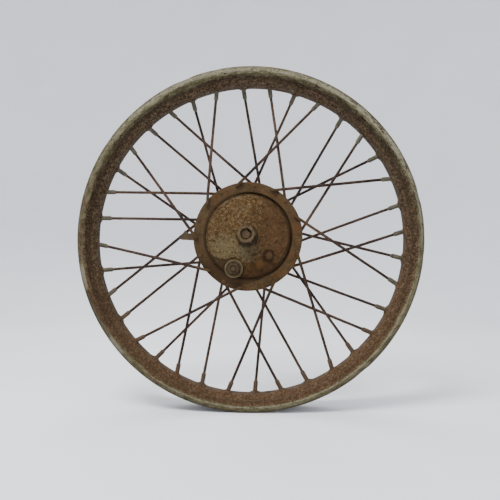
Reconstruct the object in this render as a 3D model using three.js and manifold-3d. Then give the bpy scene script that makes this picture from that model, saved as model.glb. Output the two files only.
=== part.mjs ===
// A 19-inch spoked motorcycle wheel with a half-width drum brake hub.
// The wheel turns about +Y, its centre is the origin, and the brake side faces -Y. Units are millimetres.
import * as THREE from 'three';
import { mergeVertices } from 'three/addons/utils/BufferGeometryUtils.js';
import Module from 'manifold-3d';

const wasm = await Module();
wasm.setup();

// ---- driving dimensions ----
const GAP = 0.3;
const ROUND_STEPS = 48;
const Y_AXIS = new THREE.Vector3(0, 1, 0);

const WELL_RADIUS = 233;
const RIM_SHEET = 2.4;
const RIM_OUTER_RADIUS = 255.3;
const RIM_HOLE_OFFSET = 3;
const VALVE_ANGLE = 277.2;
const VALVE_HOLE_RADIUS = 4.2;

const SPOKE_COUNT = 36;
const SPOKE_STEP = 360 / SPOKE_COUNT;
const FIRST_HOLE_ANGLE = 2.2;
const LACING_ANGLE = 40;
const SPOKE_RADIUS = 1.85;
const SPOKE_SIDES = 6;
const SPOKE_BEND = 1.9;
const SPOKE_HEAD_RADIUS = 3.3;
const SPOKE_HEAD_HEIGHT = 1.6;
const NIPPLE_RADIUS = 3.1;
const NIPPLE_TIP_RADIUS = 2.3;
const NIPPLE_VISIBLE = 18;
const NIPPLE_HOLE_RADIUS = 3.7;
const NIPPLE_HEAD_RADIUS = 4.3;
const NIPPLE_HEAD_AT = 5.3;
const NIPPLE_HEAD_HEIGHT = 2.2;

const FLANGE_FACE = 34;
const FLANGE_THICKNESS = 3.5;
const FLANGE_HOLE_RADIUS = 2.6;
const DRUM_FLANGE_RADIUS = 80;
const DRUM_HOLE_CIRCLE = 74.5;
const FAR_FLANGE_RADIUS = 46;
const FAR_HOLE_CIRCLE = 40.6;
const DRUM_OUTER_RADIUS = 68;
const DRUM_BRAKE_RADIUS = 60;
const DRUM_MOUTH_RADIUS = 64.2;
const DRUM_WEB_FACE = -5;
const LUG_ANGLE = 180;
const LUG_TILT = 11.5;
const LUG_ROOT = [76, -32.3];
const LUG_THICKNESS = 2;

const BEARING_BORE_RADIUS = 7.5;
const BEARING_OUTER_RADIUS = 17.2;
const BEARING_HALF_WIDTH = 5.5;
const BEARING_BRAKE_Y = -7.5;
const BEARING_FAR_Y = 28.5;
const BALL_COUNT = 7;
const BALL_RADIUS = 2.7;
const BALL_CIRCLE = 12.5;

const AXLE_RADIUS = 7.2;
const AXLE_SHOULDER_RADIUS = 9.4;
const AXLE_HALF_LENGTH = 73.5;
const NUT_END = 76.5;
const NUT_BASE = 62.3;
const NUT_CIRCUMRADIUS = 13.3;
const NUT_HOLE_RADIUS = 7.7;

const PLATE_RADIUS = 61.4;
const PLATE_FACE = -37.6;
const PLATE_BACK = -33;
const ANCHOR_ANGLE = 67.5;
const ANCHOR_CIRCLE = 50;
const ANCHOR_RADIUS = 6;
const ANCHOR_TENON_RADIUS = 4;
const ANCHOR_SEAT = PLATE_FACE + 1.5;
const ANCHOR_BOSS_HEIGHT = 3.5;
const CAM_ANGLE = ANCHOR_ANGLE + 180;
const CAM_CIRCLE = 51.3;
const CAM_SPINDLE_RADIUS = 5;
const CAM_HALF_THICKNESS = 4;
const CAM_HALF_WIDTH = 6;
const CAM_THREAD_RADIUS = 3.5;
const CAM_BOSS_RADIUS = 12;
const CAM_WASHER_RADIUS = 13.2;
const CAM_NUT_CIRCUMRADIUS = 8.6;
const STUD_RADIUS = 4.7;
const STUD_ANGLE = -43;
const STUD_CIRCLE = 42.2;

const SHOE_MIDDLE_Y = -18.5;
const SHOE_WIDTH = 20;
const SHOE_WEB_THICKNESS = 5;
const SHOE_INNER_RADIUS = 42;
const SHOE_OUTER_RADIUS = 53.7;
const SHOE_TABLE_THICKNESS = 4;
const LINING_OUTER_RADIUS = 58.9;
const SPRING_OFFSET = 30;
const SPRING_HOLE_HEIGHT = 35.5;
const SPRING_COIL_RADIUS = 3.2;
const SPRING_WIRE_RADIUS = 0.75;
const SPRING_TURNS = 8;

// ---- finishes ----
const FINISHES = {
  rimPaint: [0x6a6550, 0.62, 0.35],
  spokeSteel: [0x4e3a2c, 0.7, 0.5],
  hubSteel: [0x5e4a30, 0.78, 0.35],
  plateSteel: [0x776648, 0.75, 0.35],
  darkSteel: [0x4a4034, 0.7, 0.5],
  brightSteel: [0xa8a69c, 0.3, 0.9],
  castShoe: [0x9a968c, 0.55, 0.7],
  lining: [0x4b4238, 0.95, 0],
};

const group = new THREE.Group();

// ---- solids ----
function radians(degrees) {
  return THREE.MathUtils.degToRad(degrees);
}

function toSolid(geometry) {
  const bare = geometry.clone();
  bare.deleteAttribute('normal');
  bare.deleteAttribute('uv');
  const merged = mergeVertices(bare, 1e-4);
  const corners = Array.from(merged.index.array);
  const triangles = [];
  for (let k = 0; k < corners.length; k += 3) {
    const [a, b, c] = corners.slice(k, k + 3);
    if (a !== b && b !== c && a !== c) triangles.push(a, b, c);
  }
  const vertProperties = new Float32Array(merged.attributes.position.array);
  const triVerts = new Uint32Array(triangles);
  return new wasm.Manifold(new wasm.Mesh({ numProp: 3, vertProperties, triVerts }));
}

function toGeometry(solid) {
  const mesh = solid.getMesh();
  const geometry = new THREE.BufferGeometry();
  geometry.setAttribute('position', new THREE.BufferAttribute(new Float32Array(mesh.vertProperties), 3));
  geometry.setIndex(new THREE.BufferAttribute(new Uint32Array(mesh.triVerts), 1));
  geometry.computeVertexNormals();
  return geometry;
}

function join(solids) {
  return solids.reduce((whole, solid) => whole.add(solid));
}

function cut(solid, tools) {
  return tools.reduce((left, tool) => left.subtract(tool), solid);
}

// A closed profile of [radius, height] points turned about +Y, or about another line when one is given.
function turned(points, steps = ROUND_STEPS, start = new THREE.Vector3(), direction = Y_AXIS) {
  const profile = points.map(([radius, height]) => new THREE.Vector2(radius, height));
  if (THREE.ShapeUtils.area(profile) < 0) profile.reverse();
  profile.push(profile[0].clone());
  const geometry = new THREE.LatheGeometry(profile, steps);
  geometry.applyQuaternion(new THREE.Quaternion().setFromUnitVectors(Y_AXIS, direction));
  geometry.translate(start.x, start.y, start.z);
  return toSolid(geometry);
}

function ring(innerRadius, outerRadius, yLow, yHigh, steps = ROUND_STEPS) {
  return turned([
    [innerRadius, yLow],
    [outerRadius, yLow],
    [outerRadius, yHigh],
    [innerRadius, yHigh],
  ], steps);
}

// A round or many-sided bar between two points, which may taper from one end to the other.
function bar(start, end, startRadius, endRadius = startRadius, sides = 16) {
  const along = end.clone().sub(start);
  const geometry = new THREE.CylinderGeometry(endRadius, startRadius, along.length(), sides);
  const turn = new THREE.Quaternion().setFromUnitVectors(Y_AXIS, along.clone().normalize());
  geometry.applyQuaternion(turn);
  const middle = start.clone().add(end).multiplyScalar(0.5);
  geometry.translate(middle.x, middle.y, middle.z);
  return toSolid(geometry);
}

// A point on the wheel: the angle runs anticlockwise from +X as seen from the brake side.
function polar(radius, degrees, y) {
  return new THREE.Vector3(radius * Math.cos(radians(degrees)), y, radius * Math.sin(radians(degrees)));
}

function pin(radius, degrees, yLow, yHigh, pinRadius, sides = 20) {
  return bar(polar(radius, degrees, yLow), polar(radius, degrees, yHigh), pinRadius, pinRadius, sides);
}

// A bar on the axle's own axis.
function axialPin(yLow, yHigh, pinRadius, sides) {
  return pin(0, 0, yLow, yHigh, pinRadius, sides);
}

// A flat outline in X and Z, made thick along Y.
function slab(shape, yLow, yHigh, curveSegments = 12) {
  const depth = yHigh - yLow;
  const geometry = new THREE.ExtrudeGeometry(shape, { depth, bevelEnabled: false, curveSegments });
  geometry.rotateX(Math.PI / 2);
  geometry.translate(0, yHigh, 0);
  return toSolid(geometry);
}

// A piece of a ring between two angles, as an outline.
function sector(innerRadius, outerRadius, startDegrees, endDegrees) {
  const shape = new THREE.Shape();
  shape.absarc(0, 0, outerRadius, radians(startDegrees), radians(endDegrees), false);
  shape.absarc(0, 0, innerRadius, radians(endDegrees), radians(startDegrees), true);
  shape.closePath();
  return shape;
}

function block(xLow, xHigh, yLow, yHigh, zLow, zHigh) {
  const geometry = new THREE.BoxGeometry(xHigh - xLow, yHigh - yLow, zHigh - zLow);
  geometry.translate((xLow + xHigh) / 2, (yLow + yHigh) / 2, (zLow + zHigh) / 2);
  return toSolid(geometry);
}

// A path through chosen points, which the tube meets one by one.
class KnotPath extends THREE.Curve {
  constructor(knots) {
    super();
    this.knots = knots;
  }

  getPointAt(u) {
    const place = u * (this.knots.length - 1);
    const first = Math.min(Math.floor(place), this.knots.length - 2);
    return this.knots[first].clone().lerp(this.knots[first + 1], place - first);
  }

  getTangentAt(u) {
    const nearest = Math.round(u * (this.knots.length - 1));
    const before = this.knots[Math.max(nearest - 1, 0)];
    const after = this.knots[Math.min(nearest + 1, this.knots.length - 1)];
    return after.clone().sub(before).normalize();
  }
}

function wire(knots, radius, sides) {
  const section = new THREE.Shape();
  for (let k = 0; k < sides; k += 1) {
    const turn = (2 * Math.PI * k) / sides;
    if (k === 0) section.moveTo(radius, 0);
    else section.lineTo(radius * Math.cos(turn), radius * Math.sin(turn));
  }
  section.closePath();
  const extrudePath = new KnotPath(knots);
  return toSolid(new THREE.ExtrudeGeometry(section, { steps: knots.length - 1, extrudePath }));
}

function addPiece(name, solid, finish, parent = group) {
  const [color, roughness, metalness] = FINISHES[finish];
  const material = new THREE.MeshStandardMaterial({ color, roughness, metalness });
  const mesh = new THREE.Mesh(toGeometry(solid), material);
  mesh.name = name;
  parent.add(mesh);
  return mesh;
}

// ---- lacing ----
// Even spokes go to the drum flange and odd ones to the far flange.
// Two of every four lie on the outside of their flange and lean one way.
// The other two lie on the inside and lean back.
function lacing(index) {
  const side = index % 2 === 0 ? -1 : 1;
  const outside = index % 4 > 1;
  const rimAngle = FIRST_HOLE_ANGLE + SPOKE_STEP * index;
  const hubAngle = rimAngle + (outside ? LACING_ANGLE : -LACING_ANGLE);
  const hubCircle = side < 0 ? DRUM_HOLE_CIRCLE : FAR_HOLE_CIRCLE;
  const innerFace = FLANGE_FACE - FLANGE_THICKNESS;
  const legHeight = outside ? FLANGE_FACE + SPOKE_RADIUS + 2.1 : innerFace - SPOKE_RADIUS - GAP;
  const headHeight = outside ? innerFace - GAP : FLANGE_FACE + GAP;
  const elbow = polar(hubCircle, hubAngle, side * legHeight);
  const head = polar(hubCircle, hubAngle, side * headHeight);
  const rimPoint = polar(WELL_RADIUS, rimAngle, side * RIM_HOLE_OFFSET);
  const direction = rimPoint.clone().sub(elbow).normalize();
  return { side, outside, elbow, head, rimPoint, direction };
}

function spoke(index) {
  const { side, outside, elbow, head, rimPoint, direction } = lacing(index);
  const towardHead = new THREE.Vector3(0, outside ? -side : side, 0);
  const bend = SPOKE_BEND;
  const headTop = head.clone().addScaledVector(towardHead, SPOKE_HEAD_HEIGHT);
  const knots = [
    head.clone().addScaledVector(towardHead, SPOKE_HEAD_HEIGHT / 2),
    elbow.clone().addScaledVector(towardHead, bend),
    elbow.clone().addScaledVector(towardHead, bend * 0.35).addScaledVector(direction, bend * 0.35),
    elbow.clone().addScaledVector(direction, bend),
    rimPoint.clone().addScaledVector(direction, -NIPPLE_VISIBLE / 2),
  ];
  const nippleProfile = [
    [0, -NIPPLE_VISIBLE],
    [NIPPLE_TIP_RADIUS, -NIPPLE_VISIBLE],
    [NIPPLE_RADIUS, -NIPPLE_VISIBLE * 0.6],
    [NIPPLE_RADIUS, NIPPLE_HEAD_AT],
    [NIPPLE_HEAD_RADIUS, NIPPLE_HEAD_AT],
    [NIPPLE_HEAD_RADIUS * 0.8, NIPPLE_HEAD_AT + NIPPLE_HEAD_HEIGHT],
    [0, NIPPLE_HEAD_AT + NIPPLE_HEAD_HEIGHT],
  ];
  return join([
    wire(knots, SPOKE_RADIUS, SPOKE_SIDES),
    bar(head, headTop, SPOKE_HEAD_RADIUS, SPOKE_HEAD_RADIUS * 0.7, 8),
    turned(nippleProfile, SPOKE_SIDES, rimPoint, direction),
  ]);
}

// Four spokes make the pattern, and each turn of 40 degrees repeats them.
function addSpokes() {
  const pattern = [0, 1, 2, 3].map((index) => spoke(index));
  for (let index = 0; index < SPOKE_COUNT; index += 1) {
    const number = String(index + 1).padStart(2, '0');
    const mesh = addPiece(`spoke_${number}`, pattern[index % 4], 'spokeSteel');
    mesh.rotation.y = -radians(4 * SPOKE_STEP * Math.floor(index / 4));
  }
}

// ---- rim ----
// Half of the drop-centre section, from the middle of the well round the rolled lip and back.
const RIM_HALF_SECTION = [
  [WELL_RADIUS, 10],
  [239, 16],
  [239.6, 19.4],
  [243.4, 22.4],
  [250.8, 22.8],
  [252.7, 25],
  [250.6, 27],
  [244.6, 25.8],
  [243, 27.2],
  [248.6, 29.5],
  [253.6, 28.2],
  [RIM_OUTER_RADIUS, 24.8],
  [253.6, 21.4],
  [244.6, 20],
  [241.6, 16.6],
  [WELL_RADIUS + RIM_SHEET, 9.4],
];

function rim() {
  const mirrored = RIM_HALF_SECTION.map(([radius, y]) => [radius, -y]).reverse();
  const hoop = turned([...RIM_HALF_SECTION, ...mirrored]);
  const holes = [];
  for (let index = 0; index < SPOKE_COUNT; index += 1) {
    const { rimPoint, direction } = lacing(index);
    const along = (distance) => rimPoint.clone().addScaledVector(direction, distance);
    holes.push(bar(along(-6), along(NIPPLE_HEAD_AT + 2), NIPPLE_HOLE_RADIUS, NIPPLE_HOLE_RADIUS, 6));
  }
  const valveStart = polar(WELL_RADIUS - 8, VALVE_ANGLE, 0);
  const valveEnd = polar(WELL_RADIUS + 12, VALVE_ANGLE, 0);
  holes.push(bar(valveStart, valveEnd, VALVE_HOLE_RADIUS, VALVE_HOLE_RADIUS, 12));
  return cut(hoop, holes);
}

// ---- hub ----
// A torn sheet tab on the drum's flange, which leans inwards between the two layers of spokes.
function lug() {
  const tip = new THREE.Shape();
  tip.moveTo(72, 6.8);
  tip.lineTo(90, 5);
  tip.lineTo(100, 4);
  tip.lineTo(98.8, -0.4);
  tip.lineTo(93, -9.4);
  tip.lineTo(88, -5.3);
  tip.lineTo(72, -2.5);
  tip.closePath();
  const geometry = new THREE.ExtrudeGeometry(tip, { depth: LUG_THICKNESS, bevelEnabled: false });
  const [rootRadius, rootHeight] = LUG_ROOT;
  geometry.rotateX(Math.PI / 2);
  geometry.translate(-rootRadius, LUG_THICKNESS / 2, 0);
  geometry.rotateZ(radians(LUG_TILT));
  geometry.translate(rootRadius, rootHeight, 0);
  geometry.rotateY(-radians(LUG_ANGLE));
  return toSolid(geometry);
}

function hubDrum() {
  const innerFace = FLANGE_FACE - FLANGE_THICKNESS;
  const seat = BEARING_OUTER_RADIUS + GAP;
  const brakeSeatEnd = BEARING_BRAKE_Y + BEARING_HALF_WIDTH + GAP;
  const farSeatEnd = BEARING_FAR_Y - BEARING_HALF_WIDTH - GAP;
  const shell = turned([
    [DRUM_MOUTH_RADIUS, -FLANGE_FACE],
    [DRUM_FLANGE_RADIUS - 1, -FLANGE_FACE],
    [DRUM_FLANGE_RADIUS, -FLANGE_FACE + 1.2],
    [DRUM_FLANGE_RADIUS, -innerFace],
    [DRUM_OUTER_RADIUS + 2, -innerFace],
    [DRUM_OUTER_RADIUS, -innerFace + 2.5],
    [DRUM_OUTER_RADIUS, -6],
    [DRUM_OUTER_RADIUS - 5, -0.5],
    [32, 7],
    [26, 12],
    [25, 25],
    [27, 28.5],
    [FAR_FLANGE_RADIUS - 11, innerFace],
    [FAR_FLANGE_RADIUS, innerFace],
    [FAR_FLANGE_RADIUS, FLANGE_FACE],
    [24, FLANGE_FACE + 0.4],
    [23, 37],
    [seat, 37],
    [seat, farSeatEnd],
    [seat - 2, farSeatEnd],
    [seat - 2, brakeSeatEnd],
    [seat, brakeSeatEnd],
    [seat, -14],
    [23, -14],
    [25, -9],
    [26, DRUM_WEB_FACE],
    [DRUM_BRAKE_RADIUS - 2, DRUM_WEB_FACE],
    [DRUM_BRAKE_RADIUS, DRUM_WEB_FACE - 2],
    [DRUM_BRAKE_RADIUS, -innerFace],
    [DRUM_MOUTH_RADIUS, -innerFace],
  ]);
  const holes = [];
  for (let index = 0; index < SPOKE_COUNT; index += 1) {
    const { side, elbow } = lacing(index);
    const start = new THREE.Vector3(elbow.x, side * (innerFace - 3), elbow.z);
    const end = new THREE.Vector3(elbow.x, side * (FLANGE_FACE + 2), elbow.z);
    holes.push(bar(start, end, FLANGE_HOLE_RADIUS, FLANGE_HOLE_RADIUS, 6));
  }
  return cut(shell.add(lug()), holes);
}

// ---- bearings ----
function addBearing(place, middle) {
  const low = middle - BEARING_HALF_WIDTH;
  const high = middle + BEARING_HALF_WIDTH;
  const innerRing = ring(BEARING_BORE_RADIUS, BALL_CIRCLE - BALL_RADIUS - 0.4, low, high, 28);
  const outerRing = ring(BALL_CIRCLE + BALL_RADIUS + 0.4, BEARING_OUTER_RADIUS, low, high, 28);
  const balls = [ring(BALL_CIRCLE - 0.7, BALL_CIRCLE + 0.7, middle - 0.9, middle + 0.9, 21)];
  for (let k = 0; k < BALL_COUNT; k += 1) {
    const ball = new THREE.IcosahedronGeometry(BALL_RADIUS, 1);
    const { x, y, z } = polar(BALL_CIRCLE, (360 * k) / BALL_COUNT, middle);
    balls.push(toSolid(ball.translate(x, y, z)));
  }
  addPiece(`bearing_${place}_inner_ring`, innerRing, 'brightSteel');
  addPiece(`bearing_${place}_outer_ring`, outerRing, 'brightSteel');
  addPiece(`bearing_${place}_balls`, join(balls), 'brightSteel');
}

// ---- axle, collars and nuts ----
function axle() {
  const shoulderLow = BEARING_BRAKE_Y + BEARING_HALF_WIDTH + GAP;
  const shoulderHigh = BEARING_FAR_Y - BEARING_HALF_WIDTH - GAP;
  const rod = axialPin(-AXLE_HALF_LENGTH, AXLE_HALF_LENGTH, AXLE_RADIUS, 32);
  const shoulder = axialPin(shoulderLow, shoulderHigh, AXLE_SHOULDER_RADIUS, 32);
  const flat = AXLE_RADIUS - 1.6;
  const flats = [
    block(flat, 12, -AXLE_HALF_LENGTH - 1, -NUT_BASE, -12, 12),
    block(flat, 12, NUT_BASE, AXLE_HALF_LENGTH + 1, -12, 12),
  ];
  return cut(rod.add(shoulder), flats);
}

function axleNut(side) {
  const hex = axialPin(side * NUT_BASE, side * NUT_END, NUT_CIRCUMRADIUS, 6);
  const hole = axialPin(side * (NUT_BASE - 5), side * (NUT_END + 5), NUT_HOLE_RADIUS, 32);
  return hex.subtract(hole);
}

// The collar stands between the brake plate and its nut.
function brakeCollar() {
  const foot = PLATE_FACE - GAP;
  return turned([
    [BEARING_BORE_RADIUS, foot],
    [15.7, foot],
    [15.7, foot - 5.5],
    [12, foot - 7],
    [12, -NUT_BASE + GAP],
    [BEARING_BORE_RADIUS, -NUT_BASE + GAP],
  ], 24);
}

// On the far side the collar reaches through the dust cap to the bearing's inner ring.
function farCollar() {
  const foot = BEARING_FAR_Y + BEARING_HALF_WIDTH + GAP;
  return turned([
    [BEARING_BORE_RADIUS, foot],
    [9.6, foot],
    [9.6, 37.6],
    [20, 37.6],
    [20, 39.4],
    [13, 41],
    [12, 46],
    [12, NUT_BASE - GAP],
    [BEARING_BORE_RADIUS, NUT_BASE - GAP],
  ], 24);
}

// ---- brake plate ----
function brakePlate() {
  const disc = turned([
    [BEARING_BORE_RADIUS, PLATE_FACE],
    [57.2, PLATE_FACE],
    [59.4, -36.2],
    [PLATE_RADIUS, -34.6],
    [PLATE_RADIUS, -31.2],
    [57, -31.2],
    [54.5, PLATE_BACK],
    [14, PLATE_BACK],
    [13, -25],
    [9.6, -23],
    [9.6, BEARING_BRAKE_Y - BEARING_HALF_WIDTH - GAP],
    [BEARING_BORE_RADIUS, BEARING_BRAKE_Y - BEARING_HALF_WIDTH - GAP],
  ]);
  const camBoss = pin(CAM_CIRCLE, CAM_ANGLE, PLATE_FACE - 1.6, PLATE_FACE + 1.6, CAM_BOSS_RADIUS, 24);
  const camBushing = pin(CAM_CIRCLE, CAM_ANGLE, PLATE_FACE + 1, PLATE_BACK + 3, 7.5, 20);
  const camPad = slab(sector(40, 57, 196, 240), PLATE_FACE - 1, PLATE_FACE + 1);
  const studPad = slab(sector(31, 54, -74, -20), PLATE_FACE - 1.2, PLATE_FACE + 1);
  const stud = pin(STUD_CIRCLE, STUD_ANGLE, PLATE_FACE - 7, PLATE_FACE + 1, STUD_RADIUS, 16);
  const bossTop = PLATE_BACK + ANCHOR_BOSS_HEIGHT;
  const anchorBoss = pin(ANCHOR_CIRCLE, ANCHOR_ANGLE, PLATE_BACK - 1, bossTop, 9, 20);
  const solid = join([disc, camBoss, camBushing, studPad, stud, anchorBoss]);
  const recess = slab(sector(49, 58, 176, 228), PLATE_FACE - 1, PLATE_FACE + 1.8);
  const camHole = pin(CAM_CIRCLE, CAM_ANGLE, -50, -20, CAM_SPINDLE_RADIUS + 0.35);
  const anchorHole = pin(ANCHOR_CIRCLE, ANCHOR_ANGLE, ANCHOR_SEAT, -20, ANCHOR_TENON_RADIUS + GAP);
  return cut(solid, [recess.subtract(camPad), camHole, anchorHole]);
}

// The pin's thin end is pressed into a blind hole in the plate, and the shoes turn on the thick end.
function anchorPin() {
  const shoulder = PLATE_BACK + ANCHOR_BOSS_HEIGHT + GAP;
  const tenon = pin(ANCHOR_CIRCLE, ANCHOR_ANGLE, ANCHOR_SEAT + GAP, shoulder + 1, ANCHOR_TENON_RADIUS, 20);
  const post = pin(ANCHOR_CIRCLE, ANCHOR_ANGLE, shoulder, -9, ANCHOR_RADIUS, 24);
  return tenon.add(post);
}

// ---- brake cam ----
function cam() {
  const flats = block(
    CAM_CIRCLE - CAM_HALF_WIDTH, CAM_CIRCLE + CAM_HALF_WIDTH,
    SHOE_MIDDLE_Y - 9, SHOE_MIDDLE_Y + 9,
    -CAM_HALF_THICKNESS, CAM_HALF_THICKNESS,
  ).rotate([0, -CAM_ANGLE, 0]);
  const collar = pin(CAM_CIRCLE, CAM_ANGLE, PLATE_BACK + 3 + GAP, SHOE_MIDDLE_Y - 8, 6.5, 20);
  const spindle = pin(CAM_CIRCLE, CAM_ANGLE, PLATE_FACE - 8, SHOE_MIDDLE_Y - 7.5, CAM_SPINDLE_RADIUS, 20);
  const thread = pin(CAM_CIRCLE, CAM_ANGLE, PLATE_FACE - 14, PLATE_FACE - 7, CAM_THREAD_RADIUS, 16);
  return join([flats, collar, spindle, thread]);
}

function camWasher() {
  const low = PLATE_FACE - 1.6 - GAP;
  const disc = pin(CAM_CIRCLE, CAM_ANGLE, low - 2, low, CAM_WASHER_RADIUS, 28);
  return disc.subtract(pin(CAM_CIRCLE, CAM_ANGLE, low - 3, low + 1, CAM_SPINDLE_RADIUS + GAP));
}

function camNut() {
  const low = PLATE_FACE - 3.9 - GAP;
  const hex = pin(CAM_CIRCLE, CAM_ANGLE, low - 7.5, low, CAM_NUT_CIRCUMRADIUS, 6);
  const threadHole = pin(CAM_CIRCLE, CAM_ANGLE, low - 9, low + 1, CAM_THREAD_RADIUS + GAP, 16);
  const spindleHole = pin(CAM_CIRCLE, CAM_ANGLE, PLATE_FACE - 8 - GAP, low + 1, CAM_SPINDLE_RADIUS + GAP);
  return cut(hex, [threadHole, spindleHole]);
}

// ---- brake shoes ----
// The shoes are drawn with the anchor pin on +X and the cam on -X, then turned to their place.
// half is 1 for the shoe on one side of that line and -1 for the other.
function mirroredShoe(solid, half) {
  return half > 0 ? solid : solid.mirror([0, 0, 1]);
}

function shoe(half) {
  const web = slab(
    sector(SHOE_INNER_RADIUS, SHOE_OUTER_RADIUS, 0, 180),
    SHOE_MIDDLE_Y - SHOE_WEB_THICKNESS / 2, SHOE_MIDDLE_Y + SHOE_WEB_THICKNESS / 2,
    12,
  );
  const table = slab(
    sector(SHOE_OUTER_RADIUS - SHOE_TABLE_THICKNESS, SHOE_OUTER_RADIUS, 17, 163),
    SHOE_MIDDLE_Y - SHOE_WIDTH / 2, SHOE_MIDDLE_Y + SHOE_WIDTH / 2,
    12,
  );
  const far = 80;
  const tools = [
    block(-far, 0, -far, 0, -1, CAM_HALF_THICKNESS + 0.4),
    block(0, far, -far, 0, -1, 1),
    pin(ANCHOR_CIRCLE, 0, -40, 0, ANCHOR_RADIUS + GAP, 16),
  ];
  for (const x of [-SPRING_OFFSET, SPRING_OFFSET]) {
    const start = new THREE.Vector3(x, -40, SPRING_HOLE_HEIGHT);
    const end = new THREE.Vector3(x, 0, SPRING_HOLE_HEIGHT);
    tools.push(bar(start, end, SPRING_WIRE_RADIUS + 0.4, SPRING_WIRE_RADIUS + 0.4, 6));
  }
  return mirroredShoe(cut(web.add(table), tools), half);
}

function lining(half) {
  const pad = slab(
    sector(SHOE_OUTER_RADIUS + GAP, LINING_OUTER_RADIUS, 21, 159),
    SHOE_MIDDLE_Y - SHOE_WIDTH / 2, SHOE_MIDDLE_Y + SHOE_WIDTH / 2,
    14,
  );
  return mirroredShoe(pad, half);
}

// A pull-back spring reaches from one shoe to the other, with a hooked end in each web.
function returnSpring(x) {
  const coilHalf = 21;
  const legY = SHOE_MIDDLE_Y - SHOE_WEB_THICKNESS / 2 - SPRING_WIRE_RADIUS - GAP;
  const farY = SHOE_MIDDLE_Y + SHOE_WEB_THICKNESS / 2 + 1;
  const bend = 1.2;
  const hook = (sign) => [
    new THREE.Vector3(x, farY, sign * SPRING_HOLE_HEIGHT),
    new THREE.Vector3(x, legY + bend, sign * SPRING_HOLE_HEIGHT),
    new THREE.Vector3(x, legY, sign * (SPRING_HOLE_HEIGHT - bend)),
    new THREE.Vector3(x, legY, sign * (coilHalf + 3)),
  ];
  const stepsPerTurn = 6;
  const coil = [];
  for (let k = 0; k <= SPRING_TURNS * stepsPerTurn; k += 1) {
    const turn = (2 * Math.PI * k) / stepsPerTurn;
    const height = -coilHalf + (2 * coilHalf * k) / (SPRING_TURNS * stepsPerTurn);
    const out = SPRING_COIL_RADIUS;
    coil.push(new THREE.Vector3(x + out * Math.sin(turn), legY - out + out * Math.cos(turn), height));
  }
  return wire([...hook(-1), ...coil, ...hook(1).reverse()], SPRING_WIRE_RADIUS, 5);
}

// ---- the wheel ----
addPiece('rim', rim(), 'rimPaint');
addSpokes();
addPiece('hub_drum', hubDrum(), 'hubSteel');
addBearing('brake_side', BEARING_BRAKE_Y);
addBearing('far_side', BEARING_FAR_Y);
addPiece('axle', axle(), 'darkSteel');
addPiece('axle_nut_brake_side', axleNut(-1), 'darkSteel');
addPiece('axle_nut_far_side', axleNut(1), 'darkSteel');
addPiece('axle_collar_brake_side', brakeCollar(), 'darkSteel');
addPiece('axle_collar_far_side', farCollar(), 'darkSteel');
addPiece('brake_plate', brakePlate(), 'plateSteel');
addPiece('brake_anchor_pin', anchorPin(), 'darkSteel');
addPiece('brake_cam', cam(), 'darkSteel');
addPiece('brake_cam_washer', camWasher(), 'darkSteel');
addPiece('brake_cam_nut', camNut(), 'darkSteel');

const shoes = new THREE.Group();
shoes.rotation.y = -radians(ANCHOR_ANGLE);
group.add(shoes);
addPiece('brake_shoe_left', shoe(1), 'castShoe', shoes);
addPiece('brake_shoe_right', shoe(-1), 'castShoe', shoes);
addPiece('brake_lining_left', lining(1), 'lining', shoes);
addPiece('brake_lining_right', lining(-1), 'lining', shoes);
addPiece('return_spring_cam_end', returnSpring(-SPRING_OFFSET), 'brightSteel', shoes);
addPiece('return_spring_anchor_end', returnSpring(SPRING_OFFSET), 'brightSteel', shoes);

export default group;
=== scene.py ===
from math import atan2, cos, degrees, hypot, pi, radians, sin, tau

import bmesh
import bpy
from mathutils import Matrix, Vector, noise


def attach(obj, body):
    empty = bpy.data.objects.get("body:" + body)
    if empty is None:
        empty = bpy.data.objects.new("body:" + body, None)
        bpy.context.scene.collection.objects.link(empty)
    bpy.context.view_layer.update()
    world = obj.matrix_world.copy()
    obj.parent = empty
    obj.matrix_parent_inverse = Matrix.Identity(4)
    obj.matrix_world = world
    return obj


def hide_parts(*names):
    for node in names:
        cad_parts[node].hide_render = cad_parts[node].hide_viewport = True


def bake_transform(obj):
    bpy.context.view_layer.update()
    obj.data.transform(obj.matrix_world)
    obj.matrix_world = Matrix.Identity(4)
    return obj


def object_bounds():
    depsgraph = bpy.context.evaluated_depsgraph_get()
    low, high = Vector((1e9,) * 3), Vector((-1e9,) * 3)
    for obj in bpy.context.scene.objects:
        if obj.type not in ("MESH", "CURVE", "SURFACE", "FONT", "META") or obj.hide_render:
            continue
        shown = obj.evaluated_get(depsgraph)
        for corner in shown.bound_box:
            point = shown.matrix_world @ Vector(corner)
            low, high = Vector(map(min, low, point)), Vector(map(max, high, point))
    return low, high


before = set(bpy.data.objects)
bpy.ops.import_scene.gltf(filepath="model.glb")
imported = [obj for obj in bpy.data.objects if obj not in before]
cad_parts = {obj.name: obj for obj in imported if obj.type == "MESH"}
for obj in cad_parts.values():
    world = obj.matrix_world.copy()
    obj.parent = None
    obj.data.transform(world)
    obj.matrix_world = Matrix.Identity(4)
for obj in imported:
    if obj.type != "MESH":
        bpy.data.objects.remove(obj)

CAD_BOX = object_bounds()
MM = 0.001

# ---- sizes in millimetres; the axle lies along Y, and the brake side faces -Y ----
WELL_RADIUS = 233.0
RIM_OUTER_RADIUS = 255.3
RIM_SHEET = 2.4
RIM_HOLE_OFFSET = 3.0
LIP_CENTRE = (248.4, 24.9)
LIP_HALF_HEIGHT = RIM_OUTER_RADIUS - RIM_SHEET / 2 - LIP_CENTRE[0]
LIP_HALF_WIDTH = 3.4
VALVE_ANGLE = 277.2
VALVE_HOLE_RADIUS = 4.2

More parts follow.
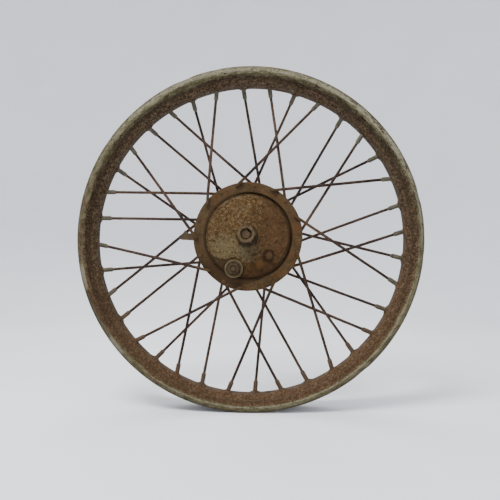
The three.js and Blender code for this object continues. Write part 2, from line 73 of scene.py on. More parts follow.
SPOKE_COUNT = 36
SPOKE_STEP = 10.0
FIRST_HOLE_ANGLE = 2.2
LACING_ANGLE = 40.0
SPOKE_RADIUS = 1.85
RUSTY_SPOKE_RADIUS = SPOKE_RADIUS * 1.15
SPOKE_HEAD_RADIUS = 3.2
SPOKE_BEND = 1.9
NIPPLE_RADIUS = 3.4
NIPPLE_VISIBLE = 19.0
NIPPLE_HEAD_AT = 5.3

FLANGE_FACE = 34.0
FLANGE_THICKNESS = 3.5
FLANGE_INNER_FACE = FLANGE_FACE - FLANGE_THICKNESS
FLANGE_RADIUS = 80.0
MOUTH_RADIUS = 64.2
DRUM_HOLE_CIRCLE = 74.5
FAR_HOLE_CIRCLE = 40.6

PLATE_FACE = -37.6
PLATE_RADIUS = 61.4
CAM_CIRCLE = 51.3
CAM_ANGLE = 247.5
SPINDLE_HOLE_RADIUS = 5.3
STUD_CIRCLE = 42.2
STUD_ANGLE = -43.0

SHOE_WEB_FACES = (-21.0, -16.0)
SPRING_OFFSET = 30.0
SPRING_HOLE_AT = 35.5
SPRING_HALF_COIL = 21.0
SPRING_HALF_TURNS = 4
SPRING_COIL_RADIUS = 3.2
SPRING_WIRE_RADIUS = 0.75

# The plate's raised flat, and the crust of dirt round the plate: their centres as (x, z).
FLAT_CENTRE = (-33.0, -5.0)
CRUST_CENTRE = (-12.7, -5.7)
CRUST_RADIUS = 63.4

NUT_END = 76.5
NUT_BASE = 62.3
NUT_CIRCUMRADIUS = 13.3
NUT_HOLE_RADIUS = 7.7

FLOOR_RADIUS = 1500.0
WALL_BEND = 1500.0
WALL_HEIGHT = 3200.0


# ---- mesh helpers ----
def smoothstep(low, high, value):
    t = min(max((value - low) / (high - low), 0.0), 1.0)
    return t * t * (3 - 2 * t)


def polar(radius, angle_degrees, y):
    angle = radians(angle_degrees)
    return Vector((radius * cos(angle), y, radius * sin(angle)))


def angle_between(a, b):
    return (a - b + 180) % 360 - 180


def shade(bm, smooth_angle):
    """Smooth faces, with sharp edges where two faces meet at more than the given angle."""
    limit = radians(smooth_angle)
    for edge in bm.edges:
        edge.smooth = len(edge.link_faces) == 2 and edge.calc_face_angle(pi) < limit
    for face in bm.faces:
        face.smooth = True


def make_object(name, bm, material, smooth_angle=35):
    bmesh.ops.recalc_face_normals(bm, faces=bm.faces[:])
    bm.transform(Matrix.Scale(MM, 4))
    shade(bm, smooth_angle)
    mesh = bpy.data.meshes.new(name)
    bm.to_mesh(mesh)
    bm.free()
    mesh.materials.append(material)
    piece = bpy.data.objects.new(name, mesh)
    bpy.context.scene.collection.objects.link(piece)
    return piece


def fasten(piece, body, node=None):
    """The piece rides on a body, and may stand for a CAD node, which it hides."""
    if node:
        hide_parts(node)
    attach(piece, body)
    return piece


def drill(piece, start, direction, radius, depth, smooth_angle):
    """Cuts a round hole into a piece; sizes are in millimetres."""
    bm = bmesh.new()
    add_turned(bm, [(0, radius), (depth, radius)], start, direction, 40)
    cutter = make_object("cutter", bm, piece.data.materials[0])
    modifier = piece.modifiers.new("hole", "BOOLEAN")
    modifier.operation = "DIFFERENCE"
    modifier.solver = "EXACT"
    modifier.object = cutter
    evaluated = piece.evaluated_get(bpy.context.evaluated_depsgraph_get())
    mesh = bpy.data.meshes.new_from_object(evaluated)
    piece.modifiers.clear()
    piece.data = mesh
    bpy.data.objects.remove(cutter)
    bm = bmesh.new()
    bm.from_mesh(mesh)
    shade(bm, smooth_angle)
    bm.to_mesh(mesh)
    bm.free()


def rounded(points, steps=5):
    """Corners given as (radius, y, fillet) become arcs; a fillet of 0 keeps the corner."""
    path = []
    for k, (r, y, fillet) in enumerate(points):
        corner = Vector((r, y))
        before = Vector(points[k - 1][:2]) - corner
        after = Vector(points[(k + 1) % len(points)][:2]) - corner
        if fillet <= 0 or before.length == 0 or after.length == 0:
            path.append((r, y))
            continue
        reach = min(fillet, before.length * 0.48, after.length * 0.48)
        start = corner + before.normalized() * reach
        end = corner + after.normalized() * reach
        for step in range(steps + 1):
            t = step / steps
            place = start * (1 - t) ** 2 + corner * 2 * t * (1 - t) + end * t * t
            path.append((place.x, place.y))
    return path


def join_rings(bm, rings, closed=True):
    """Faces between rings of equal length; closed also joins the last ring to the first."""
    following = rings[1:] + rings[:1] if closed else rings[1:]
    for ring, other in zip(rings, following):
        for j in range(len(ring)):
            jn = (j + 1) % len(ring)
            bm.faces.new((ring[j], ring[jn], other[jn], other[j]))


def add_lathe(bm, section, angles, shape=None):
    """Turns a closed section of (radius, y) about the wheel's axis; shape may move each point."""
    rings = []
    for angle in angles:
        ring = []
        for radius, y in section:
            moved = shape(radius, y, angle) if shape else (radius, y)
            ring.append(bm.verts.new(polar(moved[0], angle, moved[1])))
        rings.append(ring)
    join_rings(bm, rings)


def even_angles(count):
    return [360 * k / count for k in range(count)]


def add_turned(bm, profile, start, direction, sides=24, shape=None):
    """Turns an open profile of (height, radius) about a line; ends with radius 0 close to a point."""
    direction = direction.normalized()
    side = direction.orthogonal().normalized()
    across = direction.cross(side)
    rings = []
    for height, radius in profile:
        centre = start + direction * height
        if radius <= 0:
            rings.append([bm.verts.new(centre)])
            continue
        ring = []
        for k in range(sides):
            turn = tau * k / sides
            out = radius * shape(turn, height) if shape else radius
            ring.append(bm.verts.new(centre + side * (out * cos(turn)) + across * (out * sin(turn))))
        rings.append(ring)
    for a, b in zip(rings, rings[1:]):
        for k in range(sides):
            kn = (k + 1) % sides
            if len(a) == 1:
                bm.faces.new((a[0], b[k], b[kn]))
            elif len(b) == 1:
                bm.faces.new((a[k], b[0], a[kn]))
            else:
                bm.faces.new((a[k], b[k], b[kn], a[kn]))
    for ring in (rings[0], rings[-1]):
        if len(ring) > 1:
            bm.faces.new(ring)


def add_tube(bm, path, radius, sides=12, wobble=0.0, seed=0.0):
    """A round bar through the points of a path, slightly uneven where wobble is given."""
    side = (path[1] - path[0]).orthogonal().normalized()
    rings = []
    for k, point in enumerate(path):
        tangent = (path[min(k + 1, len(path) - 1)] - path[max(k - 1, 0)]).normalized()
        side = (side - tangent * side.dot(tangent)).normalized()
        across = tangent.cross(side)
        ring = []
        for j in range(sides):
            turn = tau * j / sides
            uneven = 1 + wobble * noise.noise(Vector((point.x * 0.25 + seed, point.z * 0.25, turn)))
            outwards = side * cos(turn) + across * sin(turn)
            ring.append(bm.verts.new(point + outwards * (radius * uneven)))
        rings.append(ring)
    join_rings(bm, rings, closed=False)
    bm.faces.new(rings[0])
    bm.faces.new(rings[-1])


# ---- finishes ----
STUDIO_LIGHT = 1.9
SURFACE_HAZE = 0.007


def rgb(red, green, blue):
    """The reflectance that looks like this sRGB colour, from 0 to 255, under the studio's light."""
    def reflectance(value):
        value /= 255
        seen = value / 12.92 if value <= 0.04045 else ((value + 0.055) / 1.055) ** 2.4
        return max(seen - SURFACE_HAZE, 0.001) / STUDIO_LIGHT
    return (reflectance(red), reflectance(green), reflectance(blue))


class Finish:
    """A procedural material in the wheel's frame: a Principled shader and the nodes that feed it."""

    def __init__(self, name, metallic=0.0):
        self.material = bpy.data.materials.new(name)
        self.material.use_nodes = True
        self.nodes = self.material.node_tree.nodes
        self.links = self.material.node_tree.links
        self.nodes.clear()
        output = self.nodes.new("ShaderNodeOutputMaterial")
        self.shader = self.nodes.new("ShaderNodeBsdfPrincipled")
        self.shader.inputs["Metallic"].default_value = metallic
        self.shader.inputs["Specular IOR Level"].default_value = 0.12
        self.links.new(self.shader.outputs["BSDF"], output.inputs["Surface"])
        self.place = self.nodes.new("ShaderNodeTexCoord").outputs["Object"]

    def feed(self, socket, value):
        if isinstance(value, tuple):
            socket.default_value = (*value, 1)
        elif isinstance(value, (int, float)):
            socket.default_value = value
        else:
            self.links.new(value, socket)

    def streaks(self, drawn):
        """Places drawn apart from the axle outwards, so that noise runs along the rim's edge."""
        node = self.nodes.new("ShaderNodeVectorMath")
        node.operation = "SCALE"
        self.links.new(self.place, node.inputs[0])
        outwards = self.less(1.0, self.maths("DIVIDE", 0.25, self.radius()))
        self.feed(node.inputs["Scale"], self.weighted(outwards, drawn, 1.0))
        return node.outputs["Vector"]

    def noise(self, scale, detail=5.0, roughness=0.6, distortion=0.0, place=None):
        """Noise with about this many features to a metre."""
        node = self.nodes.new("ShaderNodeTexNoise")
        node.inputs["Scale"].default_value = scale
        node.inputs["Detail"].default_value = detail
        node.inputs["Roughness"].default_value = roughness
        node.inputs["Distortion"].default_value = distortion
        self.links.new(place or self.place, node.inputs["Vector"])
        return node.outputs["Fac"]

    def ramp(self, value, *stops):
        node = self.nodes.new("ShaderNodeValToRGB")
        elements = node.color_ramp.elements
        while len(elements) < len(stops):
            elements.new(0.5)
        for element, (position, colour) in zip(elements, stops):
            element.position = position
            element.color = (*colour, 1)
        self.feed(node.inputs["Fac"], value)
        return node.outputs["Color"]

    def maths(self, operation, *values):
        node = self.nodes.new("ShaderNodeMath")
        node.operation = operation
        for socket, value in zip(node.inputs, values):
            self.feed(socket, value)
        return node.outputs["Value"]

    def times(self, first, second):
        return self.maths("MULTIPLY", first, second)

    def weighted(self, value, weight, base):
        """The base plus the weight times the value."""
        return self.maths("MULTIPLY_ADD", value, weight, base)

    def larger(self, first, second):
        return self.maths("MAXIMUM", first, second)

    def less(self, first, second):
        return self.maths("SUBTRACT", first, second)

    def mix(self, factor, first, second):
        """The first colour where the factor is 0, and the second where it is 1."""
        node = self.nodes.new("ShaderNodeMix")
        node.data_type = "RGBA"
        self.feed(node.inputs[0], factor)
        self.feed(node.inputs[6], first)
        self.feed(node.inputs[7], second)
        return node.outputs[2]

    def stretch(self, value, low, high, to_low=0.0, to_high=1.0):
        """A soft step from to_low, where value is low, to to_high, where it is high."""
        node = self.nodes.new("ShaderNodeMapRange")
        node.interpolation_type = "SMOOTHSTEP"
        ends = {"From Min": low, "From Max": high, "To Min": to_low, "To Max": to_high}
        for name, number in ends.items():
            node.inputs[name].default_value = number
        self.feed(node.inputs["Value"], value)
        return node.outputs["Result"]

    def axes(self):
        node = self.nodes.new("ShaderNodeSeparateXYZ")
        self.links.new(self.place, node.inputs["Vector"])
        return node.outputs["X"], node.outputs["Y"], node.outputs["Z"]

    def radius(self):
        """Distance from the axle's axis, in metres."""
        x, _, z = self.axes()
        return self.maths("SQRT", self.weighted(x, x, self.times(z, z)))

    def spot(self, x, z, inner, outer, ragged=0.0):
        """1 near a point of the brake side and 0 away from it, in millimetres, with a ragged edge."""
        node = self.nodes.new("ShaderNodeVectorMath")
        node.operation = "DISTANCE"
        self.links.new(self.place, node.inputs[0])
        node.inputs[1].default_value = (x * MM, PLATE_FACE * MM, z * MM)
        away = node.outputs["Value"]
        if ragged:
            edge = self.noise(120, 4, 0.65)
            away = self.weighted(edge, -2 * ragged * MM, self.maths("ADD", away, ragged * MM))
        return self.stretch(away, inner * MM, outer * MM, 1.0, 0.0)

    def coverage(self, share, coarse, fine, softness=0.025):
        """1 in ragged patches that cover about the given share of the surface, and 0 elsewhere."""
        level = self.weighted(share, 0.24, -0.67)
        level = self.weighted(coarse, 0.5, level)
        level = self.weighted(fine, 0.6, level)
        return self.stretch(level, -softness, softness)

    def done(self, colour, roughness, height, depth=0.3, strength=0.6):
        """Joins the colour, roughness and height, with bumps of the given depth in millimetres."""
        node = self.nodes.new("ShaderNodeBump")
        node.inputs["Distance"].default_value = depth * MM
        node.inputs["Strength"].default_value = strength
        self.feed(node.inputs["Height"], height)
        self.links.new(node.outputs["Normal"], self.shader.inputs["Normal"])
        self.feed(self.shader.inputs["Base Color"], colour)
        self.feed(self.shader.inputs["Roughness"], roughness)
        return self.material


def rim_finish():
    """Worn olive paint on the rolled edges, rust with a little paint left on the well and its sides."""
    finish = Finish("rim_worn_paint")
    x, _, z = finish.axes()
    radius = finish.radius()
    along = finish.streaks(1.6)
    coarse = finish.noise(58, 6, 0.72, 0.4, along)
    fine = finish.noise(380, 5, 0.8, 0, along)
    grains = finish.noise(1300, 3, 0.6)
    lower = finish.stretch(z, 0.08, -0.2)
    far_right = finish.stretch(x, 0.205, 0.245)
    left = finish.stretch(x, -0.150, -0.235)
    far_left = finish.stretch(x, -0.215, -0.250)
    dark_left = finish.spot(-231, -108, 15, 75, 8)
    flaking = finish.times(finish.stretch(x, 0.06, 0.17), finish.stretch(z, -0.04, 0.05))

    worn = finish.weighted(lower, -0.0028, radius)
    worn = finish.weighted(far_right, -0.0030, worn)
    worn = finish.weighted(far_left, -0.0028, worn)
    worn = finish.weighted(dark_left, -0.0038, worn)
    lip = finish.stretch(worn, 0.2392, 0.2448)
    # A painted highlight line along the lower lip, which also gets pale flecks and a little less rust.
    highlight_line_and_flecks = finish.stretch(radius, 0.2440, 0.2466)
    highlight_line_and_flecks = finish.times(highlight_line_and_flecks, finish.stretch(radius, 0.2500, 0.2474))
    highlight_line_and_flecks = finish.times(highlight_line_and_flecks, finish.stretch(x, -0.19, -0.12))
    highlight_line_and_flecks = finish.times(highlight_line_and_flecks, finish.stretch(z, 0.03, -0.10))
    # Two spots on the lower left of the lip with more paint, pale there partly from wear and partly as a
    # painted highlight.
    upper_chip = finish.spot(-241, -58, 15, 26, 8)
    chips_and_highlight = finish.larger(upper_chip, finish.spot(-194, -160, 12, 22, 6))
    chips_and_highlight = finish.times(chips_and_highlight, finish.stretch(radius, 0.2462, 0.2482))

    on_lip = finish.weighted(far_left, 0.24, 0.29)
    in_well = finish.weighted(lower, 0.1, 0.84)
    share = finish.weighted(lip, finish.less(on_lip, in_well), in_well)
    share = finish.weighted(chips_and_highlight, -0.6, share)
    share = finish.weighted(highlight_line_and_flecks, -0.05, share)
    share = finish.weighted(finish.times(flaking, lip), 0.12, share)
    rusty = finish.coverage(share, coarse, fine, 0.014)

    paint = finish.ramp(finish.noise(90, 6, 0.75, 0, along),
                        (0.38, rgb(76, 70, 46)), (0.5, rgb(116, 110, 80)), (0.62, rgb(146, 140, 112)))
    # Pale flecks along the rolled lip: partly worn paint, partly a painted highlight, weaker below and on
    # the left where less light falls.
    crown_highlight_and_wear = finish.stretch(worn, 0.2438, 0.2472)
    crown_highlight_and_wear = finish.times(crown_highlight_and_wear, finish.stretch(worn, 0.2540, 0.2500))
    crown_highlight_and_wear = finish.times(crown_highlight_and_wear, finish.weighted(lower, -0.6, 1.0))
    crown_highlight_and_wear = finish.times(crown_highlight_and_wear, finish.weighted(left, -0.35, 1.0))
    crown_highlight_and_wear = finish.times(crown_highlight_and_wear, finish.weighted(flaking, 0.7, 1.0))
    crown_highlight_and_wear = finish.larger(crown_highlight_and_wear, finish.times(chips_and_highlight, 1.4))
    crown_highlight_and_wear = finish.larger(crown_highlight_and_wear, finish.times(highlight_line_and_flecks, 0.95))
    flaked = finish.noise(420, 5, 0.75, 0, along)
    pale = finish.coverage(finish.times(crown_highlight_and_wear, 0.56), coarse, flaked, 0.035)
    paint = finish.mix(finish.times(pale, 0.85), paint, rgb(168, 163, 138))
    # Painted shade: the paint darkens towards the lower right and on the left, less along the highlight
    # line.
    paint_shade = finish.stretch(finish.weighted(x, -0.6, z), 0.06, -0.12, 0, 0.3)
    paint_shade = finish.weighted(left, 0.3, paint_shade)
    paint_shade = finish.weighted(highlight_line_and_flecks, -0.2, paint_shade)
    paint = finish.mix(paint_shade, paint, rgb(66, 58, 38))

    rust = finish.ramp(finish.noise(300, 6, 0.78),
                       (0.36, rgb(44, 35, 27)), (0.5, rgb(80, 65, 50)), (0.64, rgb(126, 103, 78)))
    redder = finish.mix(0.42, rust, rgb(118, 86, 56))
    rust = finish.mix(finish.times(lower, 0.75), rust, redder)
    flecks = finish.coverage(0.3, finish.noise(150, 4, 0.7), finish.noise(520, 4, 0.75), 0.05)
    rust = finish.mix(finish.times(flecks, 0.45), rust, rgb(136, 114, 90))
    rust = finish.mix(finish.times(flaking, finish.times(lip, 0.6)), rust, rgb(56, 45, 33))
    colour = finish.mix(rusty, paint, rust)

    shaded = finish.times(finish.stretch(x, 0.05, -0.12), lower)
    shaded = finish.larger(finish.times(shaded, 0.15), finish.times(dark_left, 0.36))
    colour = finish.mix(shaded, colour, rgb(50, 38, 26))
    # Painted shade in the crease between the lip and the well, stronger at the top, and along the lip's
    # outer edge, wider below and on the right.
    crease_shade = finish.stretch(radius, 0.2372, 0.2396)
    crease_shade = finish.times(crease_shade, finish.stretch(radius, 0.2436, 0.2410))
    crease_shade = finish.times(crease_shade, finish.weighted(lower, -0.7, 1.0))
    edge = finish.weighted(finish.larger(lower, far_right), 0.0020, radius)
    edge = finish.stretch(edge, 0.2530, 0.2548)
    dark = finish.larger(crease_shade, finish.times(edge, 1.1))
    colour = finish.mix(finish.times(dark, 0.38), colour, rgb(42, 37, 28))
    rough = finish.weighted(rusty, 0.3, finish.weighted(grains, 0.2, 0.4))
    height = finish.weighted(rusty, -0.4, finish.times(grains, 0.5))
    return finish.done(colour, rough, height, 0.35, 0.7)


def hub_finish():
    """Brown rust with an olive cast, redder in patches, darker in the mouth and where dirt sits."""
    finish = Finish("hub_rust")
    x, _, z = finish.axes()
    blotches = finish.noise(70, 6, 0.7, 0.5)
    fine = finish.noise(360, 5, 0.75)
    grains = finish.noise(1300, 3, 0.6)
    base = finish.ramp(blotches,
                       (0.34, rgb(70, 57, 40)), (0.5, rgb(92, 74, 51)), (0.64, rgb(108, 88, 60)))
    redder = finish.coverage(0.36, finish.noise(40, 3, 0.5), fine)
    base = finish.mix(finish.times(redder, 0.6), base, rgb(106, 72, 42))
    dark = finish.coverage(0.26, blotches, finish.noise(500, 4, 0.7))
    base = finish.mix(finish.times(dark, 0.55), base, rgb(54, 42, 29))
    lower_left = finish.stretch(finish.maths("ADD", x, z), -0.066, -0.1)
    base = finish.mix(finish.times(lower_left, 0.4), base, rgb(52, 42, 31))
    crust = finish.spot(*CRUST_CENTRE, CRUST_RADIUS - 1.0, CRUST_RADIUS, 0.6)
    crust = finish.times(crust, finish.stretch(z, -0.030, -0.044))
    base = finish.mix(finish.times(crust, 0.6), base, rgb(68, 51, 35))
    up_to_its_edge = finish.spot(*CRUST_CENTRE, CRUST_RADIUS + 0.6, CRUST_RADIUS + 1.4, 0.6)
    within_its_edge = finish.spot(*CRUST_CENTRE, CRUST_RADIUS - 1.0, CRUST_RADIUS - 0.2, 0.6)
    crust_edge = finish.less(up_to_its_edge, within_its_edge)
    crust_edge = finish.times(crust_edge, finish.stretch(z, -0.030, -0.044, 0, 0.5))
    base = finish.mix(crust_edge, base, rgb(40, 30, 21))
    mouth = finish.stretch(finish.radius(), 0.0668, 0.0640)
    colour = finish.mix(finish.times(mouth, 0.55), base, rgb(50, 39, 27))
    rough = finish.weighted(grains, 0.25, 0.68)
    height = finish.weighted(fine, 0.7, finish.times(grains, 0.4))
    return finish.done(colour, rough, height, 0.5, 0.7)


def plate_finish():
    """Khaki paint finely speckled with rust, bare brown rust on the right, greenish under the nut."""
    finish = Finish("plate_speckled")
    x, _, z = finish.axes()
    radius = finish.radius()
    wander = finish.noise(42, 5, 0.65)
    fine = finish.noise(560, 4, 0.75)
    coarse = finish.noise(190, 5, 0.75)
    grains = finish.noise(1400, 3, 0.6)
    across = finish.weighted(wander, 0.07, finish.weighted(z, -0.12, x))
    right = finish.stretch(across, 0.030, 0.066)
    low = finish.stretch(finish.weighted(wander, 0.03, z), -0.012, -0.036)
    share = finish.weighted(right, 0.24, finish.weighted(low, 0.36, 0.56))
    pale_spot = finish.spot(-34, -18, 8, 32, 9)
    green_spot = finish.spot(2, -22, 8, 25, 9)
    share = finish.weighted(pale_spot, -0.2, share)
    share = finish.weighted(green_spot, -0.22, share)
    rusty = finish.coverage(share, coarse, fine, 0.075)
    paint = finish.ramp(finish.noise(260, 5, 0.75),
                        (0.38, rgb(96, 78, 50)), (0.5, rgb(120, 102, 70)), (0.62, rgb(150, 132, 98)))
    paint = finish.mix(finish.times(green_spot, 0.8), paint, rgb(98, 94, 72))
    paint = finish.mix(finish.times(pale_spot, 0.5), paint, rgb(122, 116, 82))
    paint = finish.mix(finish.times(right, 0.7), paint, rgb(100, 80, 54))
    rust = finish.ramp(finish.noise(230, 6, 0.75),
                       (0.36, rgb(52, 38, 24)), (0.5, rgb(84, 59, 33)), (0.64, rgb(116, 82, 46)))
    brown = finish.ramp(finish.noise(130, 6, 0.7, 0.4),
                        (0.36, rgb(64, 48, 32)), (0.52, rgb(86, 63, 41)), (0.68, rgb(104, 76, 50)))
    rust = finish.mix(right, rust, brown)
    rust = finish.mix(finish.spot(17, -41, 3, 9, 4), rust, rgb(118, 84, 46))
    colour = finish.mix(rusty, paint, rust)
    face = finish.spot(*FLAT_CENTRE, 28.6, 30.2)
    recess = finish.times(finish.stretch(finish.maths("ADD", x, z), -0.056, -0.068),
                          finish.less(1.0, face))
    recess = finish.times(recess, finish.stretch(z, -0.010, -0.020))
    colour = finish.mix(finish.times(recess, 0.7), colour, rgb(64, 48, 33))
    colour = finish.mix(finish.times(low, 0.42), colour, rgb(66, 50, 34))
    # Painted shade: darker towards the left.
    colour = finish.mix(finish.stretch(x, -0.018, -0.046, 0, 0.14), colour, rgb(50, 39, 26))
    mark = finish.times(finish.spot(21.5, 42, 1, 5, 3), 0.5)
    colour = finish.mix(mark, colour, rgb(50, 38, 26))
    # A painted shadow round the stud.
    stud_place = polar(STUD_CIRCLE, STUD_ANGLE, 0)
    stud = finish.times(finish.spot(stud_place.x, stud_place.z, 8.5, 11, 1), 0.55)
    colour = finish.mix(stud, colour, rgb(58, 43, 30))
    # A dark ring round the cam's washer: dirt with painted shadow.
    cam = polar(CAM_CIRCLE, CAM_ANGLE, 0)
    washer = finish.times(finish.spot(cam.x, cam.z, 13, 17, 1), 0.6)
    colour = finish.mix(washer, colour, rgb(50, 39, 27))
    # Painted shade where the plate's edge slopes down into the groove.
    edge = finish.stretch(radius, 0.0570, 0.0612)
    colour = finish.mix(finish.times(edge, 0.6), colour, rgb(50, 38, 26))
    rough = finish.weighted(rusty, 0.18, finish.weighted(grains, 0.2, 0.55))
    height = finish.weighted(rusty, -0.4, finish.weighted(fine, 0.5, grains))
    return finish.done(colour, rough, height, 0.3, 0.6)


def spoke_finish():
    """Dark rusty wire, lighter in stretches, and coated like the hub where it joins it."""
    finish = Finish("spoke_rust")
    long = finish.noise(14, 3, 0.5)
    fine = finish.noise(260, 5, 0.7)
    grains = finish.noise(1500, 3, 0.6)
    colour = finish.ramp(finish.weighted(fine, 0.5, finish.times(long, 0.5)),
                         (0.38, rgb(54, 43, 37)), (0.5, rgb(76, 60, 51)), (0.62, rgb(106, 83, 66)))
    at_hub = finish.stretch(finish.radius(), 0.088, 0.081)
    colour = finish.mix(at_hub, colour, rgb(88, 70, 48))
    rough = finish.weighted(grains, 0.3, 0.6)
    return finish.done(colour, rough, finish.weighted(fine, 0.6, grains), 0.25, 0.6)


def nipple_finish():
    """Dull grey-olive plating, brown with rust on the left and below."""
    finish = Finish("nipple_grey", 0.2)
    _, _, z = finish.axes()
    each = finish.weighted(finish.noise(11, 1, 0.4), 0.5, finish.stretch(z, -0.02, -0.18, -0.1, 0.5))
    fine = finish.noise(420, 5, 0.7)
    grains = finish.noise(1500, 3, 0.6)
    grey = finish.ramp(finish.noise(180, 4, 0.6), (0.36, rgb(92, 86, 72)), (0.62, rgb(122, 116, 98)))
    brown = finish.ramp(fine, (0.36, rgb(90, 73, 60)), (0.64, rgb(124, 104, 86)))
    rusty = finish.stretch(finish.weighted(fine, 0.4, each), 0.45, 0.85)
    colour = finish.mix(rusty, grey, brown)
    rough = finish.weighted(rusty, 0.25, finish.weighted(grains, 0.2, 0.45))
    return finish.done(colour, rough, grains, 0.2, 0.5)


def steel_finish(name, dark, light, rough, metallic, rust=0.0):
    """Plain steel or cast metal with stains and fine grain, and rust on a share of it where given."""
    finish = Finish(name, metallic)
    stains = finish.noise(130, 5, 0.65, 0.3)
    fine = finish.noise(450, 5, 0.7)
    grains = finish.noise(1500, 4, 0.6)
    colour = finish.ramp(stains, (0.35, dark), (0.65, light))
    rough_value = finish.weighted(grains, 0.25, rough - 0.12)
    if rust:
        rusty = finish.coverage(rust, stains, fine, 0.04)
        colour = finish.mix(rusty, colour, rgb(84, 62, 42))
        rough_value = finish.weighted(rusty, 0.2, rough_value)
    return finish.done(colour, rough_value, finish.weighted(fine, 0.5, grains), 0.2, 0.5)


def washer_finish():
    """The cam's washer: brown steel with a lighter edge, partly worn and partly a painted highlight, and a
    dark ring round the nut, dirt with painted shadow.
    """
    finish = Finish("washer_steel")
    cam = polar(CAM_CIRCLE, CAM_ANGLE, 0)
    fine = finish.noise(450, 5, 0.7)
    grains = finish.noise(1500, 4, 0.6)
    colour = finish.ramp(finish.noise(160, 5, 0.7), (0.35, rgb(74, 61, 42)), (0.65, rgb(108, 93, 66)))
    # The lighter outer edge: partly wear, partly a painted highlight.
    worn_edge_and_highlight = finish.times(finish.spot(cam.x, cam.z, 11.8, 13.0, 0.8), -0.5)
    colour = finish.mix(finish.maths("ADD", worn_edge_and_highlight, 0.5), colour, rgb(128, 118, 88))
    # A dark ring round the nut: dirt with painted shadow.
    dirt_and_shadow = finish.times(finish.spot(cam.x, cam.z, 9.4, 10.8, 0.5), 0.7)
    colour = finish.mix(dirt_and_shadow, colour, rgb(48, 39, 28))
    rough = finish.weighted(grains, 0.25, 0.5)
    return finish.done(colour, rough, finish.weighted(fine, 0.5, grains), 0.2, 0.5)


RIM_MATERIAL = rim_finish()
HUB_MATERIAL = hub_finish()
PLATE_MATERIAL = plate_finish()
SPOKE_MATERIAL = spoke_finish()
NIPPLE_MATERIAL = nipple_finish()
NUT_MATERIAL = steel_finish("nut_steel", rgb(90, 76, 54), rgb(126, 110, 82), 0.6, 0.1, 0.35)
STUD_MATERIAL = steel_finish("stud_steel", rgb(72, 55, 38), rgb(112, 90, 62), 0.7, 0.0, 0.5)
WASHER_MATERIAL = washer_finish()
CAM_NUT_MATERIAL = steel_finish("cam_nut_steel", rgb(66, 54, 40), rgb(104, 88, 68), 0.65, 0.0, 0.3)
TAB_MATERIAL = steel_finish("tab_steel", rgb(78, 66, 50), rgb(112, 96, 74), 0.75, 0.0, 0.3)
COLLAR_MATERIAL = steel_finish("collar_dark", rgb(42, 36, 27), rgb(66, 57, 42), 0.7, 0.0, 0.25)
AXLE_MATERIAL = steel_finish("axle_brown", rgb(76, 62, 48), rgb(108, 88, 67), 0.7, 0.0)
STEEL_MATERIAL = steel_finish("bearing_steel", rgb(150, 148, 140), rgb(196, 193, 184), 0.3, 0.95)
SHOE_MATERIAL = steel_finish("shoe_cast", rgb(140, 136, 126), rgb(176, 172, 160), 0.55, 0.8)
LINING_MATERIAL = steel_finish("lining_friction", rgb(56, 50, 43), rgb(92, 82, 69), 0.9, 0.0)


# ---- spokes ----
def lacing(index):
    """A spoke's elbow, head and rim hole, its direction, and the way from the elbow to the head."""
    side = -1 if index % 2 == 0 else 1
    outside = index % 4 > 1
    rim_angle = FIRST_HOLE_ANGLE + SPOKE_STEP * index
    hub_angle = rim_angle + (LACING_ANGLE if outside else -LACING_ANGLE)
    circle = DRUM_HOLE_CIRCLE if side < 0 else FAR_HOLE_CIRCLE
    leg = FLANGE_FACE + SPOKE_RADIUS + 2.1 if outside else FLANGE_INNER_FACE - SPOKE_RADIUS - 0.3
    head = FLANGE_INNER_FACE if outside else FLANGE_FACE
    elbow = polar(circle, hub_angle, side * leg)
    head_point = polar(circle, hub_angle, side * head)
    rim_point = polar(WELL_RADIUS, rim_angle, side * RIM_HOLE_OFFSET)
    toward_head = Vector((0, -side if outside else side, 0))
    return elbow, head_point, rim_point, (rim_point - elbow).normalized(), toward_head


def spoke_wire(index):
    elbow, head, rim_point, direction, toward_head = lacing(index)
    path = [head + toward_head * 0.6]
    for t in (0.0, 0.25, 0.5, 0.75, 1.0):
        path.append(elbow + toward_head * SPOKE_BEND * (1 - t) ** 2 + direction * SPOKE_BEND * t * t)
    start = path[-1].copy()
    leg = rim_point - direction * (NIPPLE_VISIBLE - 2) - start
    sag_way = direction.cross(toward_head).normalized()
    sag = 0.9 * noise.noise(Vector((index * 3.7, 1.3, 0.2)))
    steps = 28
    for k in range(1, steps + 1):
        t = k / steps
        path.append(start + leg * t + sag_way * (sag * sin(pi * t)))
    bm = bmesh.new()
    add_tube(bm, path, RUSTY_SPOKE_RADIUS, 14, 0.1, index * 7.3)
    head_profile = [(0.0, SPOKE_HEAD_RADIUS), (0.35, SPOKE_HEAD_RADIUS - 0.1)]
    head_profile += [(0.9, 2.5), (1.25, 1.5), (1.35, 0)]
    add_turned(bm, head_profile, head, toward_head, 18)
    return make_object(f"spoke_wire_{index + 1:02d}", bm, SPOKE_MATERIAL)


def nipple(index):
    rim_point, direction = lacing(index)[2:4]
    tip = -NIPPLE_VISIBLE

    def square_flats(turn, height):
        if height < tip + 2.5 or height > -6:
            return 1.0
        across = max(abs(cos(turn)), abs(sin(turn)))
        return min(1.0, 0.86 / across)

    profile = [(tip + 0.3, 1.8), (tip, 2.0), (tip + 0.4, 2.35), (tip + 2.4, 2.6)]
    straight = (tip + 2.8, -12, -6.1, -5.6, 0, NIPPLE_HEAD_AT - 0.6)
    profile += [(height, NIPPLE_RADIUS) for height in straight]
    profile += [(NIPPLE_HEAD_AT, 4.1), (NIPPLE_HEAD_AT + 1.2, 4.1)]
    profile += [(NIPPLE_HEAD_AT + 2.0, 3.2), (NIPPLE_HEAD_AT + 2.2, 0)]
    bm = bmesh.new()
    add_turned(bm, profile, rim_point, direction, 24, square_flats)
    return make_object(f"nipple_{index + 1:02d}", bm, NIPPLE_MATERIAL)


